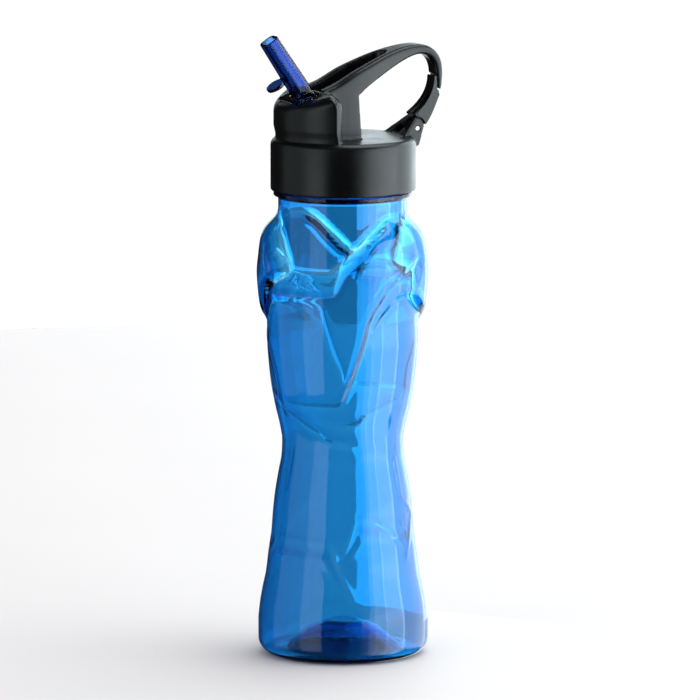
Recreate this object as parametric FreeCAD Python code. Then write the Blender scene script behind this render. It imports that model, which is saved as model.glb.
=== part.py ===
import FreeCAD, Part
import math
import os

from FreeCAD import Vector

# Sports squeeze bottle with a screw lid, a flip spout and a carabiner carrying hook.
# Origin: centre of the standing ring. +Z up, +X towards the carabiner hook. Millimetres.

# ---- bottle: driving dimensions -------------------------------------------------
FOOT_RADIUS = 36.8          # widest part of the foot
FOOT_CORNER = 6.5           # rounding between the foot and the standing ring
WALL = 1.2                  # wall of the sculpted part
BASE_THICK = 2.2            # thicker floor and push-up
SCULPT_TOP = 200.2          # the sculpted wall ends inside the transfer ring
NECK_SHOULDER_RADIUS = 28.0  # cylinder that runs down from the neck into the two panels
PUNT_RADIUS = 25.0          # push-up in the base
PUNT_HEIGHT = 11.5
PUNT_FLAT_RADIUS = 6.9
SCULPT_TURN = 112.0         # turns the sculpt about Z so that a panel faces -112 degrees

RING_BOTTOM = 199.3         # transfer ring just below the lid
RING_TOP = 201.1
RING_RADIUS = 30.0
NECK_RADIUS = 27.0          # thread root
NECK_BORE = 25.2
NECK_RIM = 220.3

# ---- thread: two starts --------------------------------------------------------
THREAD_STARTS = 2
THREAD_LEAD = 8.0
THREAD_TURNS = 1.2
THREAD_BOTTOM = 204.3
NECK_CREST = 28.45
LID_CREST = 27.45
LID_THREAD_LIFT = 2.0        # half the pitch between starts, so that the ridges interleave
THREAD_BASE_WIDTH = 1.7
THREAD_CREST_WIDTH = 0.8

# ---- lid: heights below are above LID_Z, the bottom edge of the skirt ------------
LID_Z = 201.5
SKIRT_RADIUS = 31.3
SKIRT_BORE = 29.1
SKIRT_HEIGHT = 22.8
DECK_UNDERSIDE = 20.6
DECK_ROUNDING = 3.0
HEM_ROUNDING = 0.6
GASKET_THICK = 1.8
GASKET_INNER = 24.8
GASKET_OUTER = 28.8
PLUG_OUTER = 24.6
PLUG_INNER = 23.3
PLUG_DEPTH = 3.4

HOUSING_RADIUS = 30.0
HOUSING_NECK_RADIUS = 29.2   # shallow groove just above the deck
RIM_SLOPE = 0.395            # rise of the housing top towards the hook
RIM_AT = (-15.0, 43.75)      # a point (x, height) on the rim's top line
CHEEK_DROP = 0.8             # the rounded cheeks lie this far below the rim
CHANNEL_HALF_WIDTH = 6.85

PIVOT = (-19.0, 39.6)        # spout axis, along Y
DRUM_RADIUS = 6.0
DRUM_HALF_LENGTH = 11.8
POCKET_CLEARANCE = 0.35
TRUNNION_RADIUS = 1.5
TRUNNION_LENGTH = 1.6
SPOUT_LEAN = 33.6            # degrees forward from vertical
SPOUT_CLOSED = 92.0          # degrees from open to folded down
TUBE_AXIS_AT = (-19.8, 43.75)
TUBE_LENGTH = 26.2           # from TUBE_AXIS_AT to the mouth
TUBE_BASE = (11.4, 8.2)      # width along Y, depth
TUBE_MOUTH = (9.0, 7.4)
TUBE_WALL = 1.3
PORT_RADIUS = 1.9

SEAL_RADIUS = 5.0
SEAL_FLOOR = 30.9
SEAL_TOP = 35.6              # the cup's lip, just clear of the folded spout
CAVITY_RADIUS = 9.0
CAVITY_X = -14.2
CAVITY_FLOOR = 19.6
CAVITY_CEILING = 28.6

VALVE_X = -7.0
VALVE_CEILING = 36.0
VALVE_DISC_RADIUS = 3.6
VALVE_STEM_RADIUS = 1.2
VALVE_RECESS_RADIUS = 4.2

PIN_AT = (31.5, 25.7)        # gate hinge, along Y
PIN_RADIUS = 1.0
EAR_RADIUS = 4.6
EAR_TOP_HALF_WIDTH = 5.3
EAR_FLARE = 0.58             # growth of the half width per mm down the bracket
EAR_SLOT_HALF_WIDTH = 3.5
PIN_HALF_LENGTH = 7.2
GATE_KNUCKLE_RADIUS = 2.6
GATE_KNUCKLE_HALF_WIDTH = 3.2
TONGUE_HALF_WIDTH = 1.2
RUNNING_GAP = 0.05

Z_AXIS = Vector(0, 0, 1)
Y_AXIS = Vector(0, 1, 0)


# ---- small helpers ---------------------------------------------------------------
def through(points, x):
    """Smooth curve through (x, value) points in rising x, flat beyond its ends."""
    if x <= points[0][0]:
        return points[0][1]
    if x >= points[-1][0]:
        return points[-1][1]
    i = max(k for k in range(len(points) - 1) if points[k][0] <= x)
    x0, y0 = points[i]
    x1, y1 = points[i + 1]
    step = x1 - x0

    def slope(k):
        if k <= 0 or k >= len(points) - 1:
            return 0.0
        before = (points[k][1] - points[k - 1][1]) / (points[k][0] - points[k - 1][0])
        after = (points[k + 1][1] - points[k][1]) / (points[k + 1][0] - points[k][0])
        if before * after <= 0:
            return 0.0
        return 2 * before * after / (before + after)

    s = (x - x0) / step
    m0, m1 = slope(i) * step, slope(i + 1) * step
    return (
        y0 * (2 * s**3 - 3 * s**2 + 1)
        + m0 * (s**3 - 2 * s**2 + s)
        + y1 * (3 * s**2 - 2 * s**3)
        + m1 * (s**3 - s**2)
    )


def fade(x, low, high):
    """0 below low, 1 above high, smooth between."""
    s = min(1.0, max(0.0, (x - low) / (high - low)))
    return s * s * (3 - 2 * s)


def mix(a, b, share):
    return a + (b - a) * share


# ---- the sculpted wall as a radius over angle and height --------------------------
# t is the angle from the middle of the panel, folded into -90..90 because the sculpt
# repeats after half a turn.
BARREL = [
    (6.5, 36.8), (14, 36.8), (20, 36.3), (27, 35.2), (35, 33.5), (44, 32.4), (53, 31.1),
    (62, 30.4), (70, 29.5), (79, 28.0), (87, 26.6), (93, 26.4), (98, 27.1), (108, 29.4),
    (118, 31.2), (128, 32.3), (136, 32.8), (146, 32.6), (156, 33.4), (168, 34.0),
    (178, 33.6), (184, 32.0), (188, 29.6), (191, 28.1), (194, 28.0),
]
SHIELD = [
    (90, 26.4), (98, 27.6), (108, 30.2), (118, 32.2), (128, 33.3), (138, 33.9), (148, 34.5),
    (158, 35.4), (168, 35.9), (176, 35.5), (182, 34.3), (186, 32.2), (189, 29.6),
    (191.5, 28.1), (194, 28.0),
]
LOBE = [
    (140, 33.6), (147, 34.8), (153, 36.2), (160, 37.0), (166, 37.3), (174, 36.6),
    (180, 35.8), (184, 34.4), (187, 32.4), (190, 29.4), (192.5, 28.1), (194, 28.0),
]
LEDGE_TOP = [(-85, 152), (-75, 159), (-60, 169), (-52, 169.5), (-14, 169.5), (-5, 173),
             (17, 182.5), (43, 190), (50, 197)]
LEDGE_FOOT = [(-88, 146), (-75, 150), (-60, 158), (-8, 158), (1, 167), (13, 175),
              (21, 181), (36, 187), (43, 191), (50, 198)]
PANEL_LEFT = [(146, -88), (159, -76), (169, -58), (178, -66), (190, -80), (194, -84)]
SWEEP = [(-5, 112), (5, 122), (14, 137), (20, 149), (27, 156.5), (38, 164.5), (54, 170),
         (66, 173), (75, 174)]
SECOND_SWEEP = [(10, 128), (20, 142), (27, 149), (34, 153.5), (44, 158), (54, 159), (66, 155)]
SIDE_FRONT_EDGE = [(97, 60), (107, 57), (123, 57), (141, 66), (159, 55), (169, 60),
                   (173, 66), (184, 62), (194, 60)]
SIDE_BACK_EDGE = [(97, -78), (107, -68), (119, -63), (129, -69), (138, -79), (146, -76)]
LOBE_FOOT = [(-90, 147), (-85, 147), (-75, 150), (-60, 158), (50, 159.5), (54, 158.8),
             (66, 154.5), (80, 150), (90, 147)]
GRIP_TOP = [(-80, 112), (-54, 108), (-40, 104.5), (-22, 99.5), (-14, 96.5), (7, 94), (25, 88)]
GRIP_FOOT = [(-85, 46), (-60, 50), (-14, 50), (-5, 40), (6, 28), (20, 22)]


def sculpt_radius(angle, z):
    t = (angle + SCULPT_TURN + 90) % 180 - 90
    if z < FOOT_CORNER:
        return FOOT_RADIUS - FOOT_CORNER + math.sqrt(FOOT_CORNER**2 - (FOOT_CORNER - z) ** 2)
    barrel = through(BARREL, z)
    # shallow grip panel below the waist
    grip = fade(z, through(GRIP_FOOT, t) - 3, through(GRIP_FOOT, t) + 3)
    grip *= 1 - fade(z, through(GRIP_TOP, t) - 3, through(GRIP_TOP, t) + 2)
    grip *= fade(t, -84, -70) * (1 - fade(t, 0, 28))
    barrel -= 1.3 * grip
    # band between the two sweeps
    band = fade(z, through(SECOND_SWEEP, t) - 1.5, through(SECOND_SWEEP, t) + 1.5)
    barrel += 0.9 * band * fade(t, 12, 28)
    # raised shield that runs from the shoulder down to the waist
    shield = fade(z, through(SWEEP, t) - 2, through(SWEEP, t) + 2)
    if z < 150:
        back_edge = through(SIDE_BACK_EDGE, z)
        shield *= fade(t, back_edge - 3, back_edge + 3)
    shield *= 1 - fade(t, through(SIDE_FRONT_EDGE, z) - 4, through(SIDE_FRONT_EDGE, z) + 4)
    radius = mix(barrel, through(SHIELD, z), shield)
    # side lobe of the shoulder
    lobe = fade(z, through(LOBE_FOOT, t) - 3.5, through(LOBE_FOOT, t) + 2.5)
    if t > -40:
        lobe *= fade(t, through(SIDE_FRONT_EDGE, z) - 4, through(SIDE_FRONT_EDGE, z) + 6)
    radius = mix(radius, through(LOBE, z), lobe)
    # panel that carries the neck's cylinder down to the ledge
    foot, top = through(LEDGE_FOOT, t), through(LEDGE_TOP, t)
    left = through(PANEL_LEFT, z)
    panel = min(1.0, max(0.0, (z - foot) / max(top - foot, 3.0)))
    panel *= fade(t, left - 2, left + 6)
    return mix(radius, NECK_SHOULDER_RADIUS, panel)


def wall_heights():
    """Section heights of the sculpted wall: close together at the foot's rounding."""
    foot = [FOOT_CORNER * (1 - math.cos(math.radians(a))) for a in (0, 18, 36, 54, 72)]
    count = 66
    low = FOOT_CORNER
    return foot + [low + (SCULPT_TOP - low) * i / (count - 1) for i in range(count)]


def wall_solid(inset, heights):
    """Closed solid inside a periodic B-spline skin, capped flat at both ends."""
    around = 72
    rows = []
    for z in heights:
        row = []
        for i in range(around):
            angle = 360.0 * i / around
            r = sculpt_radius(angle, z) - inset
            a = math.radians(angle)
            row.append(Vector(r * math.cos(a), r * math.sin(a), z))
        rows.append(row)
    columns = [[row[i] for row in rows] for i in range(around)]
    skin = Part.BSplineSurface()
    n = len(heights)
    skin.buildFromPolesMultsKnots(
        columns,
        [1] * (around + 1),
        [4] + [1] * (n - 4) + [4],
        [float(i) for i in range(around + 1)],
        [float(i) for i in range(n - 2)],
        True,
        False,
        3,
        3,
    )
    side = skin.toShape()
    rings = sorted(
        (e for e in side.Edges if abs(e.BoundBox.ZMax - e.BoundBox.ZMin) < 1e-6),
        key=lambda e: e.BoundBox.ZMin,
    )
    caps = [Part.Face(Part.Wire([rings[0]])), Part.Face(Part.Wire([rings[-1]]))]
    shell = Part.makeShell([side] + caps)
    shell.sewShape()
    solid = Part.makeSolid(Part.Shell(shell.Faces))
    if solid.Volume < 0:
        solid.reverse()
    return solid


def outline_face(steps, place):
    """Flat face inside an outline of 2-D steps. A step is a point, or
    ("arc", middle, end), or ("curve", points). place turns a 2-D point into a Vector."""
    edges = []
    at = steps[0]
    for step in steps[1:] + [steps[0]]:
        if step[0] == "arc":
            edges.append(Part.Arc(place(at), place(step[1]), place(step[2])).toShape())
            at = step[2]
        elif step[0] == "curve":
            curve = Part.BSplineCurve()
            curve.interpolate([place(at)] + [place(p) for p in step[1]])
            edges.append(curve.toShape())
            at = step[1][-1]
        elif math.dist(at, step) > 1e-6:
            edges.append(Part.makeLine(place(at), place(step)))
            at = step
    return Part.Face(Part.Wire(edges))


def side_prism(steps, y0, y1):
    """Prism along Y over an outline in X and height."""
    face = outline_face(steps, lambda p: Vector(p[0], y0, p[1]))
    return face.extrude(Vector(0, y1 - y0, 0))


def plan_prism(steps, z0, z1):
    """Prism along Z over an outline in X and Y."""
    face = outline_face(steps, lambda p: Vector(p[0], p[1], z0))
    return face.extrude(Vector(0, 0, z1 - z0))


def turned(steps):
    """Solid of revolution about Z over an outline in radius and height."""
    face = outline_face(steps, lambda p: Vector(p[0], 0, p[1]))
    return face.revolve(Vector(0, 0, 0), Z_AXIS, 360)


def y_cylinder(centre, radius, y0, y1):
    return Part.makeCylinder(radius, y1 - y0, Vector(centre[0], y0, centre[1]), Y_AXIS)


def rounded(shape, edges, radii):
    """Fillet the edges at the first radius that works, or leave them sharp."""
    for radius in radii:
        try:
            result = shape.makeFillet(radius, edges)
            if result.isValid() and result.Volume > 0.5 * shape.Volume:
                return result
        except Exception:
            pass
    print("left sharp:", len(edges), "edges")
    return shape


def raised(shape):
    """Lift a shape modelled above the skirt's bottom edge to its place on the bottle."""
    moved = shape.copy()
    moved.translate(Vector(0, 0, LID_Z))
    return moved


# ---- threads -----------------------------------------------------------------------
def thread(root, crest, bottom, turns, offset):
    """Raised helical ridges, all starts, from a trapezoid swept along a helix.
    root is sunk a little into the wall that carries it; offset lifts the ridges."""
    sink = 0.25 if crest > root else -0.25
    ridges = []
    for start in range(THREAD_STARTS):
        path = Part.makeHelix(THREAD_LEAD, THREAD_LEAD * turns, root)
        half_base, half_crest = THREAD_BASE_WIDTH / 2, THREAD_CREST_WIDTH / 2
        corners = [
            Vector(root - sink, 0, -half_base),
            Vector(root - sink, 0, half_base),
            Vector(crest, 0, half_crest),
            Vector(crest, 0, -half_crest),
        ]
        profile = Part.makePolygon(corners + [corners[0]])
        sweep = Part.BRepOffsetAPI.MakePipeShell(path)
        sweep.setFrenetMode(True)
        sweep.add(profile)
        sweep.build()
        sweep.makeSolid()
        ridge = sweep.shape()
        ridge.rotate(Vector(0, 0, 0), Z_AXIS, 360.0 * start / THREAD_STARTS)
        ridge.translate(Vector(0, 0, bottom + offset))
        ridges.append(ridge)
    return ridges


# ---- bottle ------------------------------------------------------------------------
def bottle_body():
    heights = wall_heights()
    outer = wall_solid(0.0, heights)
    outer = outer.fuse(
        turned(
            [
                (0, RING_BOTTOM), (RING_RADIUS - 0.4, RING_BOTTOM),
                ("arc", (RING_RADIUS - 0.1, RING_BOTTOM + 0.1), (RING_RADIUS, RING_BOTTOM + 0.4)),
                (RING_RADIUS, RING_TOP - 0.4),
                ("arc", (RING_RADIUS - 0.1, RING_TOP - 0.1), (RING_RADIUS - 0.4, RING_TOP)),
                (NECK_RADIUS, RING_TOP), (NECK_RADIUS, NECK_RIM - 0.5),
                ("arc", (NECK_RADIUS - 0.15, NECK_RIM - 0.15), (NECK_RADIUS - 0.5, NECK_RIM)),
                (0, NECK_RIM),
            ]
        )
    )
    inner_heights = [BASE_THICK + z * (SCULPT_TOP - BASE_THICK) / SCULPT_TOP for z in heights]
    inner = wall_solid(WALL, inner_heights)
    inner = inner.fuse(Part.makeCylinder(NECK_BORE, 30, Vector(0, 0, SCULPT_TOP - 1)))
    inner = inner.cut(punt(BASE_THICK))
    body = outer.cut(inner).cut(punt(0.0))
    for ridge in thread(NECK_RADIUS, NECK_CREST, THREAD_BOTTOM, THREAD_TURNS, 0.0):
        body = body.fuse(ridge)
    return body


def punt(thick):
    """Push-up dome under the bottle, thickened by thick on the inside."""
    r, h, flat = PUNT_RADIUS + thick, PUNT_HEIGHT + thick, PUNT_FLAT_RADIUS
    middle = ((r + flat) / 2 + 1.5, h * 0.5 + 1.2)
    return turned([(0, -1), (r, -1), (r, 0), ("arc", middle, (flat, h)), (0, h)])


# ---- lid ---------------------------------------------------------------------------
def rim_height(x):
    return RIM_AT[1] + (x - RIM_AT[0]) * RIM_SLOPE


ARM_TOP = [(-3.6, 48.9), (0.8, 51.4), (7.3, 54.4), (14.9, 57.6), (22.7, 60.1), (30, 61.5),
           (36.4, 61.3), (41.0, 58.9), (43.8, 54.9), (44.7, 50.4), (44.4, 43.5)]
ARM_INSIDE = [(39.9, 53.4), (37.6, 56.3), (34.0, 57.3), (28.8, 56.2), (23.4, 53.9),
              (12.8, 48.2), (5, 43.5)]
HOOK_MOUTH = [(43.9, 41.9), (42.5, 42.0), (42.2, 48.2), (40.9, 48.3)]
LEG_BACK = [(2.6, 41.6), (4.0, SKIRT_HEIGHT - 1)]
BAND_HALF_WIDTH = [(-30, 5.0), (-27.5, 7.6), (-24.0, 10.6), (-19.0, 12.6), (-9.0, 12.9),
                   (-2.0, 12.6), (10, 10.8), (24, 7.2), (36, 5.1), (46, 4.7)]


def housing():
    """Rounded cheeks either side of the band: circular in front, drawn in to the leg."""
    circle = HOUSING_RADIUS
    leave = math.radians(117)
    half = [
        (circle * math.cos(leave), circle * math.sin(leave)),
        (-11.4, 25.3), (-9.6, 22.4), (-8.4, 17.5), (-8.0, 12.0),
    ]
    right = [(x, -y) for x, y in reversed(half)]
    outline = [
        half[0], ("curve", half[1:]), (-8.0, -12.0),
        ("curve", right[1:]), ("arc", (-circle, 0), half[0]),
    ]
    body = plan_prism(outline, SKIRT_HEIGHT - 1, 60)
    top = rim_height(0) - CHEEK_DROP
    side = [
        (-circle - 1, SKIRT_HEIGHT - 2), (-circle - 1, top - RIM_SLOPE * (circle + 1)),
        (2.0, top + 2.0 * RIM_SLOPE), (2.0, SKIRT_HEIGHT - 2),
    ]
    body = body.common(side_prism(side, -40, 40))
    top_edges = [e for e in body.Edges if e.BoundBox.ZMin > 30 and e.BoundBox.XMin < -4]
    body = rounded(body, top_edges, (5.0, 4.5, 4.0, 3.0, 2.0, 1.0))
    groove = turned(
        [(HOUSING_NECK_RADIUS, SKIRT_HEIGHT - 2), (circle + 2, SKIRT_HEIGHT - 2),
         (circle + 2, 28.0), (circle + 0.01, 28.0), (HOUSING_NECK_RADIUS, 24.6)]
    )
    return body.cut(groove)


def band():
    """One band over the housing, along the arm and down to the hook's lip."""
    front = 1.6 - HOUSING_RADIUS
    z0 = rim_height(-24.2)
    outline = [
        (front, SKIRT_HEIGHT - 1), (front, 33.6), ("arc", (-27.35, 37.6), (-24.2, z0)),
        (-8.0, rim_height(-8.0)), ("curve", ARM_TOP), HOOK_MOUTH[0], HOOK_MOUTH[1],
        HOOK_MOUTH[2], HOOK_MOUTH[3], ("curve", ARM_INSIDE), LEG_BACK[0], LEG_BACK[1],
    ]
    body = side_prism(outline, -20, 20)
    near = [(x, -w) for x, w in BAND_HALF_WIDTH]
    far = [(x, w) for x, w in reversed(BAND_HALF_WIDTH)]
    plan = [near[0], ("curve", near[1:]), far[0], ("curve", far[1:])]
    body = body.common(plan_prism(plan, 0, 80))
    edges = [e for e in body.Edges
             if e.BoundBox.XLength > 3 and abs(e.BoundBox.Center.y) > 3
             and e.BoundBox.ZMin > 33.5]
    return rounded(body, edges, (1.8, 1.5, 1.2, 0.8, 0.5))


def channel():
    """Groove along the top of the arm where the folded spout lies."""
    floor_angle = math.radians(90 + SPOUT_LEAN - SPOUT_CLOSED)
    depth = DRUM_RADIUS + POCKET_CLEARANCE
    direction = (math.cos(floor_angle), math.sin(floor_angle))
    start = (PIVOT[0] + depth * direction[1], PIVOT[1] - depth * direction[0])
    far = (start[0] + 22 * direction[0], start[1] + 22 * direction[1])
    outline = [
        (PIVOT[0], PIVOT[1] - depth), start, far, (14.0, 53.2), (19.6, 55.2),
        (19.6, 75.0), (PIVOT[0], 75.0),
    ]
    w = CHANNEL_HALF_WIDTH
    body = side_prism(outline, -w, w)
    end = 19.6
    plan = [
        (-30, -w), (4, -w), (end - 5.2, -5.2), ("arc", (end, 0), (end - 5.2, 5.2)), (4, w), (-30, w),
    ]
    return body.common(plan_prism(plan, 0, 90))


def pocket():
    """Round seat for the drum, open to the rim, with blind holes for the trunnions."""
    r = DRUM_RADIUS + POCKET_CLEARANCE
    half = DRUM_HALF_LENGTH + 0.2
    tilt = math.atan(RIM_SLOPE)
    seat = y_cylinder(PIVOT, r, -half, half)
    mouth = Part.makeBox(2 * r, 2 * half, 20, Vector(-r, -half, 0))
    mouth.rotate(Vector(0, 0, 0), Y_AXIS, -math.degrees(tilt))
    mouth.translate(Vector(PIVOT[0], 0, PIVOT[1]))
    reach = half + TRUNNION_LENGTH
    holes = y_cylinder(PIVOT, TRUNNION_RADIUS + RUNNING_GAP, -reach, reach)
    return seat.fuse(mouth).fuse(holes)


def bracket():
    """Two flared ears that hold the gate pin, with a slot between them."""
    px, pz = PIN_AT
    r = EAR_RADIUS
    top = (px - 0.1, pz + r)
    middle = (px + 2.7, pz + 3.5)
    outer = (px + 3.9, pz + 0.7)
    outline = [
        (23.3, SKIRT_HEIGHT), top, ("arc", middle, outer), (30.9, 18.6), (27.0, 18.6),
        (27.0, SKIRT_HEIGHT - 1), (23.3, SKIRT_HEIGHT - 1),
    ]
    body = side_prism(outline, -20, 20)
    down = Vector(-0.6, 0, -0.8)
    across = Vector(0.8, 0, -0.6)
    start = Vector(px, 0, pz + r) - down * 2.0

    def frame_at(s):
        centre = start + down * s
        half = EAR_TOP_HALF_WIDTH + EAR_FLARE * max(s - 2.0, -2.0)
        corners = [
            centre + across * sx * 20 + Vector(0, sy * half, 0)
            for sx, sy in ((-1, -1), (1, -1), (1, 1), (-1, 1))
        ]
        return Part.makePolygon(corners + [corners[0]])

    wedge = Part.makeLoft([frame_at(0), frame_at(24)], True, True)
    body = body.common(wedge)
    slot = Part.makeBox(20, 2 * EAR_SLOT_HALF_WIDTH, 20,
                        Vector(24.2, -EAR_SLOT_HALF_WIDTH, SKIRT_HEIGHT - 0.2))
    body = body.cut(slot)
    trim = Part.makeCylinder(SKIRT_BORE + 0.6, 40, Vector(0, 0, -10))
    low = Part.makeBox(80, 80, SKIRT_HEIGHT - 1 + 10, Vector(-40, -40, -10))
    return body.cut(trim.common(low))


def lid_body():
    r, h = SKIRT_RADIUS, SKIRT_HEIGHT
    f, e = DECK_ROUNDING, HEM_ROUNDING
    k = 1 - math.sqrt(0.5)
    cap = turned(
        [
            (0, h), (r - f, h), ("arc", (r - f * k, h - f * k), (r, h - f)),
            (r, e), ("arc", (r - e * k, e * k), (r - e, 0)),
            (SKIRT_BORE + 0.5, 0), (SKIRT_BORE, 0.5), (SKIRT_BORE, DECK_UNDERSIDE),
            (PLUG_OUTER, DECK_UNDERSIDE), (PLUG_OUTER, DECK_UNDERSIDE - PLUG_DEPTH),
            (PLUG_INNER, DECK_UNDERSIDE - PLUG_DEPTH), (PLUG_INNER, DECK_UNDERSIDE),
            (0, DECK_UNDERSIDE),
        ]
    )
    body = cap.fuse(housing().fuse(band())).fuse(bracket())
    body = body.cut(channel()).cut(pocket())
    px = PIVOT[0]
    # hollow under the housing, open to the bottle, with the valve's recess
    cavity_height = CAVITY_CEILING - CAVITY_FLOOR
    body = body.cut(Part.makeCylinder(CAVITY_RADIUS, cavity_height, Vector(CAVITY_X, 0, CAVITY_FLOOR)))
    recess = Part.makeCylinder(VALVE_RECESS_RADIUS, VALVE_CEILING - 25, Vector(VALVE_X, 0, 25))
    vent_hole = Part.makeCylinder(VALVE_STEM_RADIUS, 20, Vector(VALVE_X, 0, 30))
    body = body.cut(recess).cut(vent_hole)
    # seal counterbore and port
    body = body.cut(Part.makeCylinder(SEAL_RADIUS, 8, Vector(px, 0, SEAL_FLOOR)))
    body = body.cut(Part.makeCylinder(PORT_RADIUS, 20, Vector(px, 0, 20)))
    body = body.cut(y_cylinder(PIN_AT, PIN_RADIUS, -12, 12))
    for ridge in thread(SKIRT_BORE, LID_CREST, THREAD_BOTTOM - LID_Z, THREAD_TURNS, LID_THREAD_LIFT):
        body = body.fuse(ridge)
    return raised(body)


def lid_gasket():
    low = DECK_UNDERSIDE - GASKET_THICK
    ring = turned([(GASKET_INNER, low), (GASKET_OUTER, low),
                   (GASKET_OUTER, DECK_UNDERSIDE), (GASKET_INNER, DECK_UNDERSIDE)])
    return raised(ring)


def spout_seal():
    px = PIVOT[0]
    body = Part.makeCylinder(SEAL_RADIUS, 8, Vector(px, 0, SEAL_FLOOR))
    body = body.cut(Part.makeCylinder(PORT_RADIUS, 20, Vector(px, 0, 20)))
    body = body.cut(y_cylinder(PIVOT, DRUM_RADIUS + RUNNING_GAP, -20, 20))
    above = Part.makeBox(20, 20, 20, Vector(px - 10, -10, SEAL_TOP))
    return raised(body.cut(above))


def vent_valve():
    r, s, c = VALVE_DISC_RADIUS, VALVE_STEM_RADIUS, VALVE_CEILING
    body = turned([
        (0, c - 1.6), (s, c - 1.6), (r, c - 0.5), (r, c), (s, c), (s, c + 1.5), (0, c + 1.5),
    ])
    body.translate(Vector(VALVE_X, 0, 0))
    return raised(body)


# ---- spout ---------------------------------------------------------------------------
def tube_frame(t, width, depth):
    """Rounded rectangle across the tube's axis, t along it from TUBE_AXIS_AT."""
    lean = math.radians(SPOUT_LEAN)
    along = Vector(-math.sin(lean), 0, math.cos(lean))
    out = Vector(math.cos(lean), 0, math.sin(lean))
    centre = Vector(TUBE_AXIS_AT[0], 0, TUBE_AXIS_AT[1]) + along * t
    corner = 0.33 * min(width, depth)
    edges = []
    hw, hd = width / 2, depth / 2
    k = corner * (1 - math.sqrt(0.5))

    def at(y, d):
        return centre + Vector(0, y, 0) + out * d

    for sy, sd in ((1, 1), (-1, 1), (-1, -1), (1, -1)):
        if sy * sd > 0:
            a, b = at(sy * hw, sd * (hd - corner)), at(sy * (hw - corner), sd * hd)
        else:
            a, b = at(sy * (hw - corner), sd * hd), at(sy * hw, sd * (hd - corner))
        edges.append(Part.Arc(a, at(sy * (hw - k), sd * (hd - k)), b).toShape())
    ring = []
    for i, arc in enumerate(edges):
        ring.append(arc)
        after = edges[(i + 1) % 4]
        ring.append(Part.makeLine(arc.Vertexes[-1].Point, after.Vertexes[0].Point))
    return Part.Wire(ring)


def tube(t0, t1, shrink):
    sizes = []
    for t in (t0, t1):
        s = max(0.0, t) / TUBE_LENGTH
        sizes.append((t, mix(TUBE_BASE[0], TUBE_MOUTH[0], s) - shrink,
                      mix(TUBE_BASE[1], TUBE_MOUTH[1], s) - shrink))
    return Part.makeLoft([tube_frame(*size) for size in sizes], True, True)


def spout():
    lean = math.radians(SPOUT_LEAN)
    along = Vector(-math.sin(lean), 0, math.cos(lean))
    out = Vector(math.cos(lean), 0, math.sin(lean))
    half = DRUM_HALF_LENGTH
    drum = y_cylinder(PIVOT, DRUM_RADIUS, -half, half)
    lid_plane = Part.makeBox(60, 60, 20, Vector(-30, -30, 0))
    lid_plane.rotate(Vector(0, 0, 0), Y_AXIS, -math.degrees(math.atan(RIM_SLOPE)))
    lid_plane.translate(Vector(PIVOT[0], 0, rim_height(PIVOT[0]) + 0.05))
    drum = drum.cut(lid_plane)
    reach = half + TRUNNION_LENGTH
    body = drum.fuse(y_cylinder(PIVOT, TRUNNION_RADIUS, -reach, reach))
    body = body.fuse(tube(-3.0, TUBE_LENGTH, 0.0))
    # oval thumb tab on a short web
    tab_at = 8.1
    centre = Vector(TUBE_AXIS_AT[0], 0, TUBE_AXIS_AT[1]) + along * tab_at - out * 8.0
    oval = Part.Ellipse(centre + Y_AXIS * 5.2, centre - out * 4.3, centre)
    plate = Part.Face(Part.Wire([oval.toShape()])).extrude(along * 1.7)
    plate.translate(along * -0.85)
    web = Part.makeBox(8, 3.4, 1.3, Vector(-8, -1.7, -0.65))
    web.rotate(Vector(0, 0, 0), Y_AXIS, -SPOUT_LEAN)
    web.translate(Vector(TUBE_AXIS_AT[0], 0, TUBE_AXIS_AT[1]) + along * tab_at)
    body = body.fuse(plate).fuse(web)
    # waterway: up from the bottom of the drum, then along the tube
    body = body.cut(tube(-0.8, TUBE_LENGTH + 2, 2 * TUBE_WALL))
    body = body.cut(Part.makeCylinder(PORT_RADIUS, 10.0, Vector(PIVOT[0], 0, PIVOT[1] - 8)))
    return raised(body)


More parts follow.
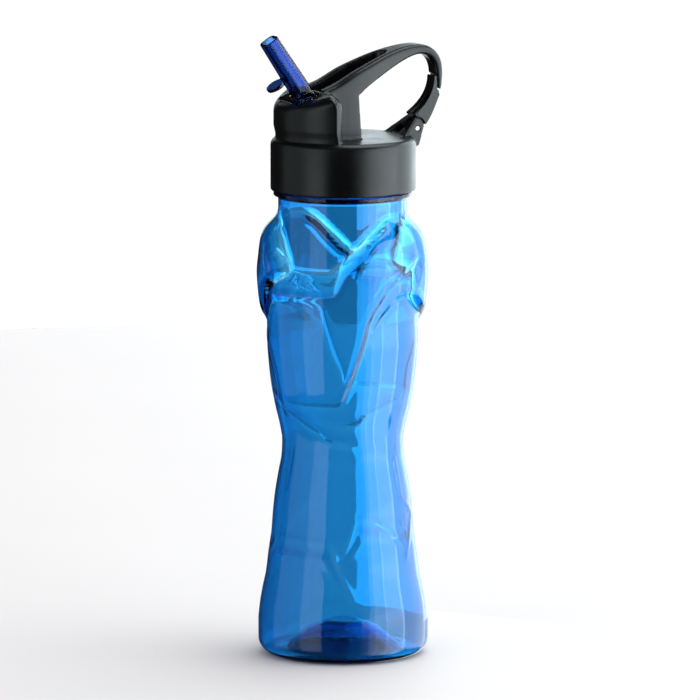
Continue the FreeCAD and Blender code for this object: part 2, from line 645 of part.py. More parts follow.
# ---- carabiner gate --------------------------------------------------------------------
def gate():
    px, pz = PIN_AT
    r = EAR_RADIUS + 0.5

    def polar(angle, radius):
        a = math.radians(angle)
        return (px + radius * math.cos(a), pz + radius * math.sin(a))

    outline = [
        polar(90, r), (31.5, 31.6), ("curve", [(36.1, 35.8), (38.9, 39.9), (40.7, 47.0)]),
        (41.0, 47.6), (41.8, 47.4), (41.95, 42.0), (42.7, 41.3), (43.2, 39.4),
        ("curve", [(41, 34.5), (38.6, 29.9), polar(14, r)]), ("arc", polar(52, r), polar(90, r)),
    ]
    bar = side_prism(outline, -8, 8)
    taper = [
        (25, -5.3), (33, -5.3), (42.5, -3.9), (46, -3.6), (46, 3.6), (42.5, 3.9), (33, 5.3), (25, 5.3),
    ]
    bar = bar.common(plan_prism(taper, 0, 80))
    recess = side_prism(
        [(29.0, 29.0), (30.0, 32.0), (35.0, 36.6), (37.6, 39.6), (39.6, 38.4), (38.2, 34.2),
         (36.0, 30.6), polar(60, r - 0.2), polar(92, r - 0.3)],
        -3.3, 3.3,
    )
    bar = bar.cut(recess)
    tongue = side_prism(
        [(26.6, 27.6), (31.4, 31.9), ("curve", [(35.8, 35.9), (38.2, 39.4)]), (39.6, 39.0),
         ("curve", [(37.2, 35.4), (32.4, 31.0)]), (27.2, 26.5)],
        -TONGUE_HALF_WIDTH, TONGUE_HALF_WIDTH,
    )
    half = GATE_KNUCKLE_HALF_WIDTH
    knuckle = y_cylinder(PIN_AT, GATE_KNUCKLE_RADIUS, -half, half)
    web = side_prism(
        [polar(95, GATE_KNUCKLE_RADIUS - 0.3), polar(68, r + 0.6), (37.4, 31.8),
         (38.2, 30.6), polar(16, r + 0.3), polar(-12, GATE_KNUCKLE_RADIUS - 0.3)],
        -half, half,
    )
    body = bar.fuse(tongue).fuse(knuckle).fuse(web)
    body = body.cut(y_cylinder(PIN_AT, PIN_RADIUS + RUNNING_GAP, -10, 10))
    return raised(body)


def gate_pin():
    half = PIN_HALF_LENGTH
    body = y_cylinder(PIN_AT, PIN_RADIUS, -half, half)
    body = rounded(body, [e for e in body.Edges if e.BoundBox.XLength > 1], (0.2,))
    return raised(body)


NODES = {
    "bottle_body": bottle_body,
    "lid_body": lid_body,
    "lid_gasket": lid_gasket,
    "spout": spout,
    "spout_seal": spout_seal,
    "vent_valve": vent_valve,
    "gate": gate,
    "gate_pin": gate_pin,
}

os.makedirs("parts", exist_ok=True)
for name, make in NODES.items():
    shape = make()
    if shape.ShapeType != "Solid" and len(shape.Solids) == 1:
        shape = shape.Solids[0]
    print(name, shape.ShapeType, len(shape.Solids), shape.isValid(), round(shape.Volume, 1))
    shape.exportStep("parts/" + name + ".step")
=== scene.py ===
"""Sports squeeze bottle: clear blue sculpted body, black screw lid with a carabiner
hook, blue flip spout. Metres, +Z up, origin at the centre of the standing ring."""
import math

import bpy
import numpy as np
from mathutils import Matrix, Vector


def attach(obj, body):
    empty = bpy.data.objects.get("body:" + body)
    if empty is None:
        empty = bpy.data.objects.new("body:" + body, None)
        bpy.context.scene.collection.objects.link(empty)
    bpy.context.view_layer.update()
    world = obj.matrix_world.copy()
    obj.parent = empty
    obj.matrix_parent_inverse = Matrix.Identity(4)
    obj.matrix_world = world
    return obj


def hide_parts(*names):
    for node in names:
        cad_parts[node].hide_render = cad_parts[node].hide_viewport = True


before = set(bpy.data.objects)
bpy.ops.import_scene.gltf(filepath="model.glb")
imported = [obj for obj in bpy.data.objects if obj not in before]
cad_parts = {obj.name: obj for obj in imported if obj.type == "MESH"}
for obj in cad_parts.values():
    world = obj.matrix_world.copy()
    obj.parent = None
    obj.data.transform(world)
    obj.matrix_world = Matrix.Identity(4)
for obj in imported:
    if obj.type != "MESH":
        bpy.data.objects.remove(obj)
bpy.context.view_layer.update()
scene = bpy.context.scene

MM = 0.001

# ---- camera ------------------------------------------------------------------------
VIEW_ANGLE = math.radians(-112.0)      # direction from the bottle to the camera, in plan
CAMERA_REACH = 3.19
CAMERA_HEIGHT = 0.62
AIM_RIGHT = 0.0029
AIM_HEIGHT = 0.1316
LENS = 385.0


def around(angle_from_camera, distance, height):
    """Point at an angle round the bottle, counted from the camera, plus to its right."""
    a = VIEW_ANGLE + math.radians(angle_from_camera)
    return Vector((distance * math.cos(a), distance * math.sin(a), height))


def look_from(thing, place, target):
    thing.location = place
    thing.rotation_euler = (target - place).to_track_quat("-Z", "Y").to_euler()


camera_data = bpy.data.cameras.new("camera")
camera_data.lens = LENS
camera_data.clip_end = 50.0
camera = bpy.data.objects.new("camera", camera_data)
scene.collection.objects.link(camera)
scene.camera = camera
look_from(camera, around(0, CAMERA_REACH, CAMERA_HEIGHT), around(90, AIM_RIGHT, AIM_HEIGHT))


# ---- bottle: sizes in millimetres ----------------------------------------------------
FOOT_RADIUS = 36.8
FOOT_CORNER = 6.5
WALL = 1.2
BASE_THICK = 2.2            # floor and push-up
SCULPT_TOP = 199.3
NECK_SHOULDER_RADIUS = 28.0
PUNT_RADIUS = 25.0
PUNT_HEIGHT = 11.5
PUNT_FLAT_RADIUS = 6.9
RING_TOP = 201.1
RING_RADIUS = 30.0
NECK_RADIUS = 27.0
NECK_BORE = 25.2
NECK_RIM = 220.3
THREAD_LEAD = 8.0
THREAD_TURNS = 1.2
THREAD_BOTTOM = 204.3
THREAD_HEIGHT = 1.45
THREAD_RUN_OUT = 14.0       # degrees over which each thread start and end fades
THREAD_HALF_WIDTH = 1.1
THREAD_FLANK = 0.75
GRIP_DEPTH = 1.3            # recess of the grip below the waist
SECOND_SWEEP_STEP = 0.9
EDGE_FILLET = 0.35          # ring and rim
OUTER_BLUR = (1.3, 0.8)     # half angle in degrees and half height over which edges soften
INNER_BLUR = (3.0, 2.0)

# Mesh density.
AROUND = 240                # points round the bottle
WAIST_ROWS = 119
SHOULDER_ROWS = 98
THREAD_ROWS = 42
INSIDE_ROWS = 90

# Outlines of the sculpt. t is the angle in degrees from the middle of a panel; the
# sculpt repeats after half a turn. (height, radius), (t, height) or (height, t).
BARREL = [
    (6.5, 36.8), (14, 36.8), (20, 36.3), (27, 35.2), (35, 33.5), (44, 32.4), (53, 31.1),
    (62, 30.4), (70, 29.5), (79, 28.0), (87, 26.6), (93, 26.4), (98, 27.1), (108, 29.4),
    (118, 31.2), (128, 32.3), (136, 32.8), (146, 32.6), (156, 33.4), (168, 34.0),
    (178, 33.6), (184, 32.0), (188, 29.6), (191, 28.1), (194, 28.0),
]
SHIELD = [
    (90, 26.4), (98, 27.6), (108, 30.2), (118, 32.2), (128, 33.3), (138, 33.9), (148, 34.5),
    (158, 35.4), (168, 35.9), (176, 35.5), (182, 34.3), (186, 32.2), (189, 29.6),
    (191.5, 28.1), (194, 28.0),
]
LOBE = [
    (140, 33.6), (147, 34.8), (153, 36.2), (160, 37.0), (166, 37.3), (174, 36.6),
    (180, 35.8), (184, 34.4), (187, 32.4), (190, 29.4), (192.5, 28.1), (194, 28.0),
]
LEDGE_TOP = [(-85, 152), (-75, 159), (-60, 169), (-52, 169.5), (-14, 169.5), (-5, 173),
             (17, 182.5), (43, 190), (50, 197)]
LEDGE_FOOT = [(-88, 146), (-75, 150), (-60, 158), (-8, 158), (1, 167), (13, 175),
              (21, 181), (36, 187), (43, 191), (50, 198)]
PANEL_LEFT = [(146, -88), (159, -76), (169, -58), (178, -66), (190, -80), (194, -84)]
SWEEP = [(-5, 112), (5, 122), (14, 137), (20, 149), (27, 156.5), (38, 164.5), (54, 170),
         (66, 173), (75, 174)]
SECOND_SWEEP = [(10, 128), (20, 142), (27, 149), (34, 153.5), (44, 158), (54, 159), (66, 155)]
SIDE_FRONT_EDGE = [(97, 60), (107, 57), (123, 57), (141, 66), (159, 55), (169, 60),
                   (173, 66), (184, 62), (194, 60)]
SIDE_BACK_EDGE = [(97, -78), (107, -68), (119, -63), (129, -69), (138, -79), (146, -76)]
LOBE_FOOT = [(-90, 147), (-85, 147), (-75, 150), (-60, 158), (50, 159.5), (54, 158.8),
             (66, 154.5), (80, 150), (90, 147)]
GRIP_TOP = [(-80, 112), (-54, 108), (-40, 104.5), (-22, 99.5), (-14, 96.5), (7, 94), (25, 88)]
GRIP_FOOT = [(-85, 46), (-60, 50), (-14, 50), (-5, 40), (6, 28), (20, 22)]
# Fine folds in the wall: (t, height) points, half width and height in millimetres.
FOLDS = [
    ([(-67, 185.5), (-68, 174.5), (-52, 158)], 1.2, 0.35),
    ([(-60, 53.2), (-14, 53.0)], 1.0, 0.35),
    ([(-60, 46.9), (-16, 46.5)], 1.0, 0.35),
    ([(-17, 42), (6, 26.6)], 0.9, -0.15),
    ([(29, 60), (53.5, 50)], 0.9, -0.3),
    ([(56, 86), (57, 70), (73, 63), (65, 52), (57, 44)], 1.1, 0.3),
]


def through(points, x):
    """Smooth monotone curve through (x, value) points in rising x, flat beyond its ends."""
    xs = np.array([p[0] for p in points], float)
    ys = np.array([p[1] for p in points], float)
    step = np.diff(xs)
    rise = np.diff(ys) / step
    slope = np.zeros(len(xs))
    same_way = rise[:-1] * rise[1:] > 0
    total = np.where(same_way, rise[:-1] + rise[1:], 1.0)
    slope[1:-1] = np.where(same_way, 2 * rise[:-1] * rise[1:] / total, 0.0)
    x = np.clip(x, xs[0], xs[-1])
    i = np.clip(np.searchsorted(xs, x, side="right") - 1, 0, len(step) - 1)
    s = (x - xs[i]) / step[i]
    return (
        ys[i] * (2 * s**3 - 3 * s**2 + 1)
        + slope[i] * step[i] * (s**3 - 2 * s**2 + s)
        + ys[i + 1] * (3 * s**2 - 2 * s**3)
        + slope[i + 1] * step[i] * (s**3 - s**2)
    )


def fade(x, low, high):
    """0 below low, 1 above high, smooth between."""
    s = np.clip((x - low) / (high - low), 0, 1)
    return s * s * (3 - 2 * s)


def mix(a, b, share):
    return a + (b - a) * share


def ramp(s, soft):
    """0 to 1 in a straight line with rounded ends, soft the share of each end."""
    s = np.clip(s, 0, 1)
    scale = 2 * soft * (1 - soft)
    middle = (s - soft / 2) / (1 - soft)
    return np.where(s < soft, s**2 / scale, np.where(s > 1 - soft, 1 - (1 - s) ** 2 / scale, middle))


def fold_height(t, z, radius, points, width, height):
    """Rounded crease along a line of (t, height) points."""
    across = t * np.radians(1) * radius
    nearest = np.full(t.shape, 1e3)
    for (t0, z0), (t1, z1) in zip(points[:-1], points[1:]):
        x0 = math.radians(t0) * radius
        x1 = math.radians(t1) * radius
        dx = x1 - x0
        dz = z1 - z0
        s = np.clip(((across - x0) * dx + (z - z0) * dz) / (dx**2 + dz**2), 0, 1)
        nearest = np.minimum(nearest, np.hypot(across - x0 - s * dx, z - z0 - s * dz))
    return height * np.exp(-((nearest / width) ** 2))


def panel_angle(angle):
    """Degrees from the middle of the nearer panel."""
    return (angle - math.degrees(VIEW_ANGLE) + 90) % 180 - 90


def sculpt_radius(angle, z):
    """Outer radius of the sculpted wall without its fine folds, in millimetres."""
    t = panel_angle(angle)
    barrel = through(BARREL, z)
    grip = fade(z, through(GRIP_FOOT, t) - 3, through(GRIP_FOOT, t) + 3)
    grip *= 1 - fade(z, through(GRIP_TOP, t) - 3, through(GRIP_TOP, t) + 2)
    grip *= fade(t, -84, -70) * (1 - fade(t, -12, 22))
    barrel = barrel - GRIP_DEPTH * grip
    band = fade(z, through(SECOND_SWEEP, t) - 1.5, through(SECOND_SWEEP, t) + 1.5)
    barrel = barrel + SECOND_SWEEP_STEP * band * fade(t, 12, 28)
    shield = fade(z, through(SWEEP, t) - 2, through(SWEEP, t) + 2)
    back = through(SIDE_BACK_EDGE, z)
    shield *= np.where(z < 150, fade(t, back - 3, back + 3), 1.0)
    front = through(SIDE_FRONT_EDGE, z)
    shield *= 1 - fade(t, front - 4, front + 4)
    radius = mix(barrel, through(SHIELD, z), shield)
    lobe = fade(z, through(LOBE_FOOT, t) - 3.5, through(LOBE_FOOT, t) + 2.5)
    lobe *= np.where(t > -40, fade(t, front - 4, front + 6), 1.0)
    radius = mix(radius, through(LOBE, z), lobe)
    foot = through(LEDGE_FOOT, t)
    top = through(LEDGE_TOP, t)
    left = through(PANEL_LEFT, z)
    panel = ramp((z - foot) / np.maximum(top - foot, 3.0), 0.2)
    panel *= fade(t, left - 2, left + 6)
    radius = mix(radius, NECK_SHOULDER_RADIUS, panel)
    corner = np.clip(FOOT_CORNER - z, 0, FOOT_CORNER)
    drop = FOOT_CORNER - np.sqrt(FOOT_CORNER**2 - corner**2)
    return radius - drop


def blurred_radius(angle, z, turn, rise):
    """Sculpted radius averaged over a small patch of the given half angle and half height."""
    near = [sculpt_radius(angle + a * turn, z + b * rise) for a in (-1, 0, 1) for b in (-1, 0, 1)]
    return sum(near) / len(near)


def outer_radius(angle, z):
    radius = blurred_radius(angle, z, *OUTER_BLUR)
    for points, width, height in FOLDS:
        radius = radius + fold_height(panel_angle(angle), z, radius, points, width, height)
    return radius


def inner_radius(angle, z):
    """Radius of the inside of the wall, which follows the outside a little less sharply."""
    return blurred_radius(angle, z, *INNER_BLUR) - WALL


def thread_height(angle, z):
    """Rounded two-start screw thread on the neck."""
    height = np.zeros(angle.shape)
    length = 360 * THREAD_TURNS
    for start in (0.0, 180.0):
        for turn in (0, 1):
            along = (angle - start) % 360.0 + 360.0 * turn
            off = np.abs(z - THREAD_BOTTOM - THREAD_LEAD * along / 360.0)
            run_out = fade(along, 0, THREAD_RUN_OUT) * (1 - fade(along, length - THREAD_RUN_OUT, length))
            height = np.maximum(height, run_out * fade(THREAD_HALF_WIDTH - off, 0, THREAD_FLANK))
    return THREAD_HEIGHT * height


def arc(start, middle, end, count):
    """count points from start to end on the circle through three (radius, height) points."""
    (ax, ay), (bx, by), (cx, cy) = start, middle, end
    d = 2 * (ax * (by - cy) + bx * (cy - ay) + cx * (ay - by))
    a2, b2, c2 = ax**2 + ay**2, bx**2 + by**2, cx**2 + cy**2
    ux = (a2 * (by - cy) + b2 * (cy - ay) + c2 * (ay - by)) / d
    uy = (a2 * (cx - bx) + b2 * (ax - cx) + c2 * (bx - ax)) / d
    r = math.hypot(ax - ux, ay - uy)
    a0 = math.atan2(ay - uy, ax - ux)
    sweep = (math.atan2(cy - uy, cx - ux) - a0 + math.pi) % (2 * math.pi) - math.pi
    angles = [a0 + sweep * k / (count - 1) for k in range(count)]
    return [(ux + r * math.cos(a), uy + r * math.sin(a)) for a in angles]


def punt_line(thick, count):
    """Push-up dome from its flat top out to the standing ring."""
    r, h, flat = PUNT_RADIUS + thick, PUNT_HEIGHT + thick, PUNT_FLAT_RADIUS
    middle = ((r + flat) / 2 + 1.5, h * 0.5 + 1.2)
    return [(0.4 * flat, h), (0.94 * flat, h)] + arc((flat, h), middle, (r, 0), count)


def corner(r, z, size, turn_from, turn_to):
    """Small rounded corner about (r, z) between two directions in degrees."""
    steps = 4
    rows = []
    for k in range(steps + 1):
        a = math.radians(mix(turn_from, turn_to, k / steps))
        rows.append((r + size * math.cos(a), z + size * math.sin(a)))
    return rows


def bottle_rows():
    """Rings of points from the middle of the underside, up outside, over the rim and
    down inside to the middle of the floor."""
    angle = np.linspace(0, 360, AROUND, endpoint=False)
    rows = []

    def plain(points):
        for r, z in points:
            rows.append((np.full(AROUND, r), np.full(AROUND, z)))

    def sculpted(heights, radius_at):
        for z in heights:
            z = np.full(AROUND, z)
            rows.append((radius_at(angle, z), z))

    plain(punt_line(0.0, 12))
    plain([(PUNT_RADIUS + 0.6, 0.0), (FOOT_RADIUS - FOOT_CORNER - 0.8, 0.0)])
    foot = [FOOT_CORNER * (1 - math.cos(math.radians(a))) for a in range(0, 90, 9)]
    sculpted(foot, sculpt_radius)
    sculpted(np.linspace(FOOT_CORNER + 1.0, 140.0, WAIST_ROWS), outer_radius)
    sculpted(np.linspace(140.6, SCULPT_TOP - 0.5, SHOULDER_ROWS), outer_radius)
    fillet = EDGE_FILLET
    plain([(NECK_SHOULDER_RADIUS + 0.15, SCULPT_TOP - 0.15), (NECK_SHOULDER_RADIUS + 0.5, SCULPT_TOP)])
    plain(corner(RING_RADIUS - fillet, SCULPT_TOP + fillet, fillet, -90, 0))
    plain(corner(RING_RADIUS - fillet, RING_TOP - fillet, fillet, 0, 90))
    plain([(NECK_RADIUS + 0.4, RING_TOP), (NECK_RADIUS + 0.1, RING_TOP + 0.1)])
    for z in np.linspace(RING_TOP + 0.4, NECK_RIM - 0.6, THREAD_ROWS):
        z = np.full(AROUND, z)
        rows.append((NECK_RADIUS + thread_height(angle, z), z))
    plain(corner(NECK_RADIUS - fillet, NECK_RIM - fillet, fillet, 0, 90))
    plain(corner(NECK_BORE + fillet, NECK_RIM - fillet, fillet, 90, 180))
    plain([(NECK_BORE, z) for z in (216.0, 210.0, 205.0, 201.8)])
    for share, z in ((0.25, 200.6), (0.75, 199.4)):
        z = np.full(AROUND, z)
        rows.append((mix(NECK_BORE, inner_radius(angle, z), share), z))
    sculpted(np.linspace(198.6, FOOT_CORNER + 1.2, INSIDE_ROWS), inner_radius)
    rise = FOOT_CORNER + 0.4 - BASE_THICK
    inner_foot = [BASE_THICK + rise * (1 - math.sin(math.radians(a))) for a in range(0, 91, 13)]
    sculpted(inner_foot, lambda angle, z: sculpt_radius(angle, z) - WALL)
    plain([(31.0, BASE_THICK), (PUNT_RADIUS + BASE_THICK + 0.6, BASE_THICK)])
    plain([p for p in reversed(punt_line(BASE_THICK, 14)) if p[1] > BASE_THICK + 0.15])
    return angle, rows


def bottle_mesh():
    angle, rows = bottle_rows()
    a = np.radians(angle)
    count = len(rows)
    points = np.zeros((count, AROUND, 3))
    for i, (r, z) in enumerate(rows):
        points[i, :, 0] = r * np.cos(a)
        points[i, :, 1] = r * np.sin(a)
        points[i, :, 2] = z
    vertices = [tuple(p) for p in (points.reshape(-1, 3) * MM)]
    bottom = len(vertices)
    vertices.append((0.0, 0.0, rows[0][1][0] * MM))
    vertices.append((0.0, 0.0, rows[-1][1][0] * MM))
    faces = []
    for i in range(count - 1):
        for j in range(AROUND):
            k = (j + 1) % AROUND
            low = i * AROUND
            high = low + AROUND
            faces.append((low + j, low + k, high + k, high + j))
    last = (count - 1) * AROUND
    for j in range(AROUND):
        k = (j + 1) % AROUND
        faces.append((bottom, k, j))
        faces.append((bottom + 1, last + j, last + k))
    mesh = bpy.data.meshes.new("bottle_shell")
    mesh.from_pydata(vertices, [], faces)
    mesh.polygons.foreach_set("use_smooth", [True] * len(mesh.polygons))
    mesh.update()
    return mesh


# ---- materials -----------------------------------------------------------------------
def new_material(name):
    material = bpy.data.materials.new(name)
    material.use_nodes = True
    nodes = material.node_tree.nodes
    shader = nodes["Principled BSDF"]
    return material, nodes, material.node_tree.links, shader


def noise(nodes, links, scale, detail, roughness=0.55):
    place = nodes.new("ShaderNodeTexCoord")
    texture = nodes.new("ShaderNodeTexNoise")
    texture.inputs["Scale"].default_value = scale
    texture.inputs["Detail"].default_value = detail
    texture.inputs["Roughness"].default_value = roughness
    links.new(place.outputs["Object"], texture.inputs["Vector"])
    return texture


def spread(nodes, links, source, low, high, start=0.35, end=0.65):
    """Map the start..end part of a texture to low..high."""
    span = nodes.new("ShaderNodeMapRange")
    span.inputs["From Min"].default_value = start
    span.inputs["From Max"].default_value = end
    span.inputs["To Min"].default_value = low
    span.inputs["To Max"].default_value = high
    links.new(source, span.inputs["Value"])
    return span.outputs["Result"]


def bump(nodes, links, shader, source, distance, strength, normal=None):
    """Bump on a shader, over another bump where normal is given. Returns the new normal."""
    node = nodes.new("ShaderNodeBump")
    node.inputs["Distance"].default_value = distance
    node.inputs["Strength"].default_value = strength
    links.new(source, node.inputs["Height"])
    if normal is not None:
        links.new(normal, node.inputs["Normal"])
    links.new(node.outputs["Normal"], shader.inputs["Normal"])
    return node.outputs["Normal"]


def clear_plastic(name, keep, per_metre, ior, haze, wave):
    """Tinted clear plastic. keep is the colour that passes, per_metre how fast the rest
    is absorbed; wave is the depth of the moulding's faint ripples, haze its roughness range."""
    material, nodes, links, shader = new_material(name)
    shader.inputs["Base Color"].default_value = (1.0, 1.0, 1.0, 1.0)
    shader.inputs["Transmission Weight"].default_value = 1.0
    shader.inputs["IOR"].default_value = ior
    smudge = noise(nodes, links, 90.0, 4.0)
    links.new(spread(nodes, links, smudge.outputs["Fac"], haze[0], haze[1]), shader.inputs["Roughness"])
    waves = noise(nodes, links, 55.0, 1.5)
    bump(nodes, links, shader, waves.outputs["Fac"], wave, 0.25)
    absorb = nodes.new("ShaderNodeVolumeAbsorption")
    absorb.inputs["Color"].default_value = (*keep, 1.0)
    absorb.inputs["Density"].default_value = per_metre
    links.new(absorb.outputs["Volume"], nodes["Material Output"].inputs["Volume"])
    return material


def black_plastic():
    """Satin black moulding: fine spark-eroded grain, faint streaks, paler sharp convex edges."""
    material, nodes, links, shader = new_material("black_plastic")
    shader.inputs["Specular IOR Level"].default_value = 0.5
    shader.inputs["IOR"].default_value = 1.5
    tone = nodes.new("ShaderNodeMix")
    tone.data_type = "RGBA"
    tone.inputs["A"].default_value = (0.0016, 0.0016, 0.002, 1.0)
    tone.inputs["B"].default_value = (0.007, 0.0072, 0.008, 1.0)
    geometry = nodes.new("ShaderNodeNewGeometry")
    # Base colour lighter where Pointiness is high, on sharp convex edges.
    edge_paleness = spread(nodes, links, geometry.outputs["Pointiness"], 0.0, 0.7, 0.52, 0.62)
    links.new(edge_paleness, tone.inputs["Factor"])
    links.new(tone.outputs["Result"], shader.inputs["Base Color"])
    patches = noise(nodes, links, 60.0, 5.0)
    links.new(spread(nodes, links, patches.outputs["Fac"], 0.27, 0.36), shader.inputs["Roughness"])
    grain = noise(nodes, links, 3200.0, 2.0)
    fine = bump(nodes, links, shader, grain.outputs["Fac"], 0.00003, 0.12)
    flow = noise(nodes, links, 140.0, 2.0)
    bump(nodes, links, shader, flow.outputs["Fac"], 0.0002, 0.08, fine)
    return material


def silicone():
    material, nodes, links, shader = new_material("silicone")
    dust = noise(nodes, links, 240.0, 4.0)
    tone = nodes.new("ShaderNodeMix")
    tone.data_type = "RGBA"
    tone.inputs["A"].default_value = (0.055, 0.058, 0.062, 1.0)
    tone.inputs["B"].default_value = (0.085, 0.088, 0.092, 1.0)
    links.new(dust.outputs["Fac"], tone.inputs["Factor"])
    links.new(tone.outputs["Result"], shader.inputs["Base Color"])
    shader.inputs["Subsurface Weight"].default_value = 0.1
    shader.inputs["Subsurface Scale"].default_value = 0.001
    links.new(spread(nodes, links, dust.outputs["Fac"], 0.5, 0.66), shader.inputs["Roughness"])
    bump(nodes, links, shader, dust.outputs["Fac"], 0.00008, 0.3)
    return material


def pin_steel():
    material, nodes, links, shader = new_material("pin_steel")
    shader.inputs["Metallic"].default_value = 1.0
    turning = nodes.new("ShaderNodeTexWave")
    turning.wave_type = "RINGS"
    turning.rings_direction = "Y"
    turning.inputs["Scale"].default_value = 1500.0
    turning.inputs["Distortion"].default_value = 0.6
    place = nodes.new("ShaderNodeTexCoord")
    links.new(place.outputs["Object"], turning.inputs["Vector"])
    tone = nodes.new("ShaderNodeMix")
    tone.data_type = "RGBA"
    tone.inputs["A"].default_value = (0.62, 0.62, 0.63, 1.0)
    tone.inputs["B"].default_value = (0.72, 0.72, 0.72, 1.0)
    links.new(turning.outputs["Fac"], tone.inputs["Factor"])
    links.new(tone.outputs["Result"], shader.inputs["Base Color"])
    links.new(spread(nodes, links, turning.outputs["Fac"], 0.2, 0.34), shader.inputs["Roughness"])
    bump(nodes, links, shader, turning.outputs["Fac"], 0.00002, 0.3)
    return material


BODY_PLASTIC = clear_plastic("bottle_plastic", (0.05, 0.665, 0.865), 2000.0, 1.5, (0.015, 0.05), 0.0005)
SPOUT_PLASTIC = clear_plastic("spout_plastic", (0.4, 0.62, 0.83), 3300.0, 1.5, (0.01, 0.03), 0.0001)
BLACK_PLASTIC = black_plastic()
PIN_STEEL = pin_steel()
SILICONE = silicone()
FINISHES = {
    "lid_body": BLACK_PLASTIC,
    "gate": BLACK_PLASTIC,
    "gate_pin": PIN_STEEL,
    "lid_gasket": SILICONE,
    "spout_seal": SILICONE,
    "vent_valve": SILICONE,
    "spout": SPOUT_PLASTIC,
}
for node, finish in FINISHES.items():
    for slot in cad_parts[node].material_slots:
        slot.material = finish

# ---- lid and spout with their moulding edges rounded -----------------------------------
LID_VOXEL = 0.45 * MM
SPOUT_VOXEL = 0.25 * MM
ROUNDING_PASSES = 6
MOST_TRIANGLES = 190000


def evaluated_mesh(piece):
    """New mesh of a piece with its modifiers applied."""
    return bpy.data.meshes.new_from_object(piece.evaluated_get(bpy.context.evaluated_depsgraph_get()))


def moulded(node, body, voxel):
    """Piece that stands for a CAD node: its mesh with the sharp edges rounded off a little."""
    piece = bpy.data.objects.new(node + "_moulded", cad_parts[node].data.copy())
    scene.collection.objects.link(piece)
    remesh = piece.modifiers.new("remesh", "REMESH")
    remesh.mode = "VOXEL"
    remesh.voxel_size = voxel
    remesh.use_smooth_shade = True
    smooth = piece.modifiers.new("smooth", "SMOOTH")
    smooth.factor = 0.5
    smooth.iterations = ROUNDING_PASSES
    triangles = piece.modifiers.new("triangles", "TRIANGULATE")
    triangles.quad_method = "SHORTEST_DIAGONAL"
    mesh = evaluated_mesh(piece)
    piece.modifiers.clear()
    piece.data = mesh
    if len(mesh.polygons) > MOST_TRIANGLES:
        thin = piece.modifiers.new("thin", "DECIMATE")
        thin.ratio = MOST_TRIANGLES / len(mesh.polygons)
        piece.data = evaluated_mesh(piece)
        piece.modifiers.clear()
    piece.data.materials.clear()
    piece.data.materials.append(FINISHES[node])
    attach(piece, body)
    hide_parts(node)


moulded("lid_body", "lid", LID_VOXEL)
moulded("spout", "spout", SPOUT_VOXEL)

# ---- bottle piece ----------------------------------------------------------------------
bottle = bpy.data.objects.new("bottle_shell", bottle_mesh())
scene.collection.objects.link(bottle)
bottle.data.materials.append(BODY_PLASTIC)
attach(bottle, "bottle")
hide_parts("bottle_body")

# ---- floor, world and lights ------------------------------------------------------------
FLOOR_RADIUS = 0.957
FLOOR_DROP = 0.0002                    # keeps the floor clear of the standing ring
FLOOR_TINTS = ((0.67, 0.61, 0.6, 1.0), (0.7, 0.64, 0.63, 1.0))   # warm, under cool lamps


def floor_disc():
    """Pale disc under the bottle. Glossy rays miss it, so it doesn't veil the clear wall."""
    mesh = bpy.data.meshes.new("floor")
    turns = [math.radians(a) for a in range(0, 360, 3)]
    ring = [(FLOOR_RADIUS * math.cos(a), FLOOR_RADIUS * math.sin(a), -FLOOR_DROP) for a in turns]
    mesh.from_pydata(ring, [], [tuple(range(len(ring)))])
    disc = bpy.data.objects.new("floor", mesh)
    scene.collection.objects.link(disc)
    material, nodes, links, shader = new_material("floor_white")
    shader.inputs["Roughness"].default_value = 0.7
    cloud = noise(nodes, links, 6.0, 2.0)
    tone = nodes.new("ShaderNodeMix")
    tone.data_type = "RGBA"
    tone.inputs["A"].default_value = FLOOR_TINTS[0]
    tone.inputs["B"].default_value = FLOOR_TINTS[1]
    links.new(cloud.outputs["Fac"], tone.inputs["Factor"])
    links.new(tone.outputs["Result"], shader.inputs["Base Color"])
    mesh.materials.append(material)
    disc.visible_glossy = False
    return disc


floor_disc()

BACKGROUND = 1.05           # world brightness that the camera sees
SURROUNDINGS = 0.66         # world brightness as light and through the clear plastic
UNLIT_STUDIO = 0.02         # world brightness in glossy reflections
COOL_WHITE = (0.84, 0.96, 1.0)


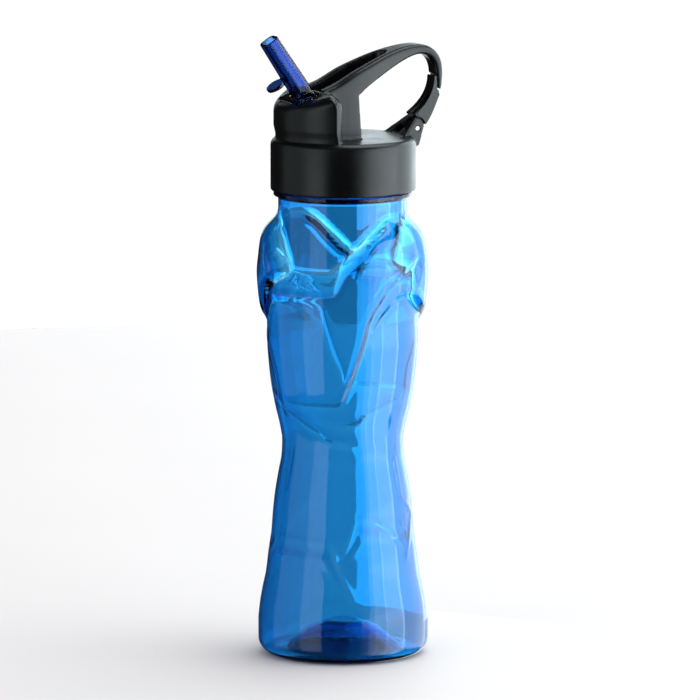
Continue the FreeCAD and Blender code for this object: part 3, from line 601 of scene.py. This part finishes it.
def studio_world():
    """White background, a little dimmer as light, dark where glossy surfaces mirror it."""
    world = bpy.data.worlds.new("studio")
    world.use_nodes = True
    nodes = world.node_tree.nodes
    links = world.node_tree.links
    path = nodes.new("ShaderNodeLightPath")
    mirrored = nodes.new("ShaderNodeMath")
    mirrored.operation = "MULTIPLY"
    links.new(path.outputs["Is Reflection Ray"], mirrored.inputs[0])
    links.new(path.outputs["Is Glossy Ray"], mirrored.inputs[1])
    strength = nodes.new("ShaderNodeMapRange")
    strength.inputs["To Min"].default_value = SURROUNDINGS
    strength.inputs["To Max"].default_value = UNLIT_STUDIO
    links.new(mirrored.outputs["Value"], strength.inputs["Value"])
    seen = nodes.new("ShaderNodeMath")
    seen.operation = "MULTIPLY_ADD"
    links.new(path.outputs["Is Camera Ray"], seen.inputs[0])
    seen.inputs[1].default_value = BACKGROUND - SURROUNDINGS
    links.new(strength.outputs["Result"], seen.inputs[2])
    links.new(seen.outputs["Value"], nodes["Background"].inputs["Strength"])
    nodes["Background"].inputs["Color"].default_value = (1.0, 1.0, 1.0, 1.0)
    scene.world = world


def softbox(name, angle, distance, height, size, radiance, aim=0.14):
    """Rectangular panel at an angle from the camera, with its brightness as radiance."""
    data = bpy.data.lights.new(name, "AREA")
    data.shape = "RECTANGLE"
    data.size, data.size_y = size
    data.color = COOL_WHITE
    data.energy = radiance * math.pi * size[0] * size[1]
    lamp = bpy.data.objects.new(name, data)
    lamp.visible_camera = False
    scene.collection.objects.link(lamp)
    look_from(lamp, around(angle, distance, height), Vector((0, 0, aim)))
    return lamp


studio_world()
softbox("left_panel", -45, 1.6, 0.25, (0.92, 1.9), 1.1)
softbox("left_far_panel", -85, 1.6, 0.3, (1.45, 1.9), 0.35)
softbox("right_lid_panel", 57, 1.5, 0.0, (1.9, 0.2), 0.8)
for angle, width, radiance in ((30, 0.3, 0.3), (40, 0.3, 1.5), (53, 0.5, 2.6), (76, 0.9, 3.7)):
    softbox("right_panel_%d" % angle, angle, 1.6, -0.05, (width, 2.7), radiance)
softbox("right_back_panel", 119, 1.6, 0.25, (1.94, 2.1), 2.5)
softbox("right_rear_panel", 164, 1.6, 0.2, (0.8, 2.0), 1.3)
softbox("back_panel", 176, 1.55, 0.42, (1.2, 0.7), 1.3)
# Close behind the bottle. Left out of diffuse light, so that it draws no edge on the floor.
backlight = softbox("backlight", 150, 0.1, 0.12, (0.1, 0.24), 1.2, 0.12)
backlight.visible_diffuse = False
softbox("top_panel", 120, 0.5, 1.5, (1.4, 1.2), 2.8)

scene.view_settings.view_transform = "Standard"
